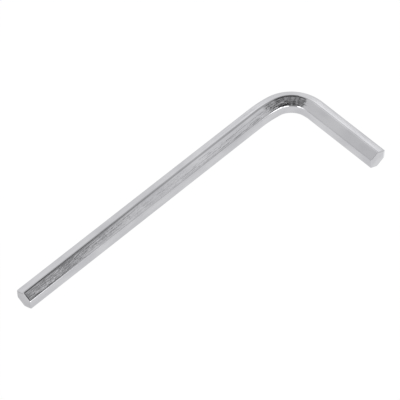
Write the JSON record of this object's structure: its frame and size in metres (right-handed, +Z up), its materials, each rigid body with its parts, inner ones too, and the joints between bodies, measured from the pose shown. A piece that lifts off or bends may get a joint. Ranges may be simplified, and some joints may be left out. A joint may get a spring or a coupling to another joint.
{
  "type": "hex key",
  "caption": "L-shaped hexagon key: one drawn hexagon bar bent to a long arm and a short arm, with bevelled ends that drive socket screws.",
  "frame": {"origin": "under the middle of the key's box, on the surface that the lower ridges of both arms lie on", "axes": "+X from the long arm's end face towards the bend, +Y from the short arm's end face towards the bend, +Z up, square to the plane of the two arms"},
  "size_m": [0.074, 0.026, 0.0045],
  "materials": {
    "plated_steel": "nickel-plated tool steel, satin, with fine pitting on the flats"
  },
  "bodies": {
    "root": {"hex_key": "plated_steel"}
  },
  "joints": []
}
